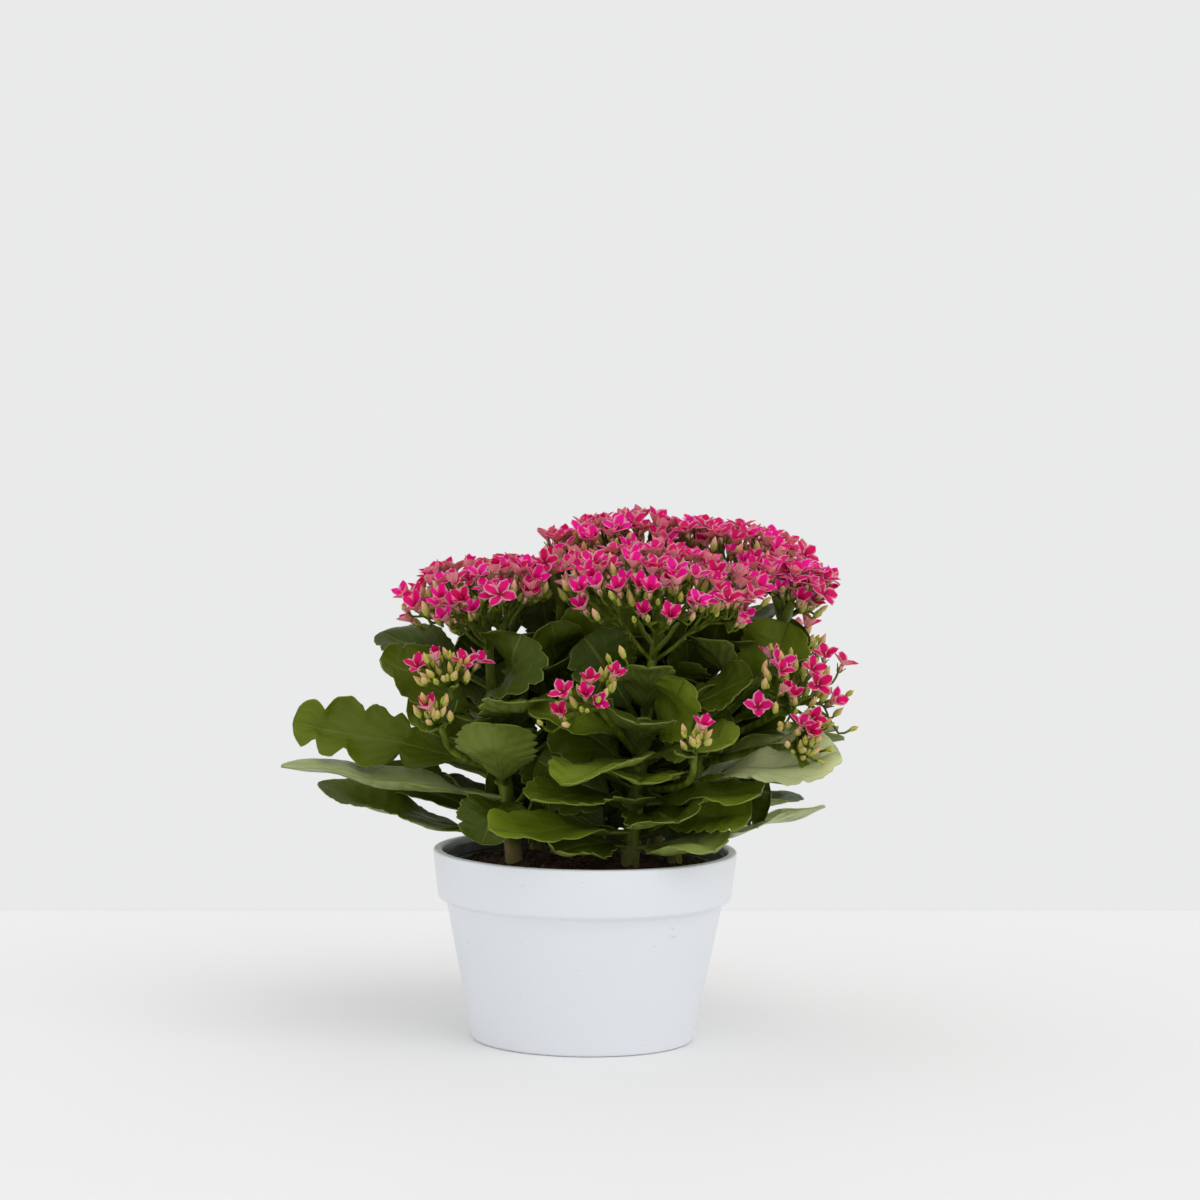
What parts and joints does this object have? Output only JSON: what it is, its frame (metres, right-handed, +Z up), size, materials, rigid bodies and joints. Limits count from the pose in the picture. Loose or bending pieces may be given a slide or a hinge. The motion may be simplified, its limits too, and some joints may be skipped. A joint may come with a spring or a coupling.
{
  "type": "potted flowering succulent",
  "caption": "Potted flaming katy: fleshy scalloped green leaves and dense heads of four-petalled magenta florets, in a nursery pot inside a plain white banded outer pot.",
  "frame": {"origin": "middle of the outer pot's flat base, on the surface it stands on", "axes": "+Z up, -Y towards the viewer of the picture, +X to the viewer's right"},
  "size_m": [0.2768, 0.2284, 0.2612],
  "materials": {
    "outer_pot": "smooth white, soft sheen",
    "nursery_pot": "matt black thin-walled plastic",
    "soil": "dark brown peat crumbs",
    "foliage": "fleshy green leaf with a waxy sheen",
    "flowers": "soft magenta petals"
  },
  "bodies": {
    "root": {"outer_pot": "outer_pot", "nursery_pot": "nursery_pot", "soil": "soil", "shoot_left": "foliage", "shoot_middle": "foliage", "shoot_front": "foliage", "shoot_right": "foliage", "shoot_back_right": "foliage", "shoot_back": "foliage", "shoot_back_left": "foliage", "shoot_inner": "foliage", "head_left": "flowers", "head_middle": "flowers", "head_front": "flowers", "head_inner": "flowers", "head_back_right": "flowers", "head_right": "flowers", "head_back": "flowers", "head_back_left": "flowers", "spray_left_high": "flowers", "spray_left_low": "flowers", "spray_front": "flowers", "spray_front_low": "flowers", "spray_right": "flowers", "spray_right_low": "flowers", "spray_back": "flowers", "spray_back_right": "flowers", "spray_back_left": "flowers"}
  },
  "joints": []
}
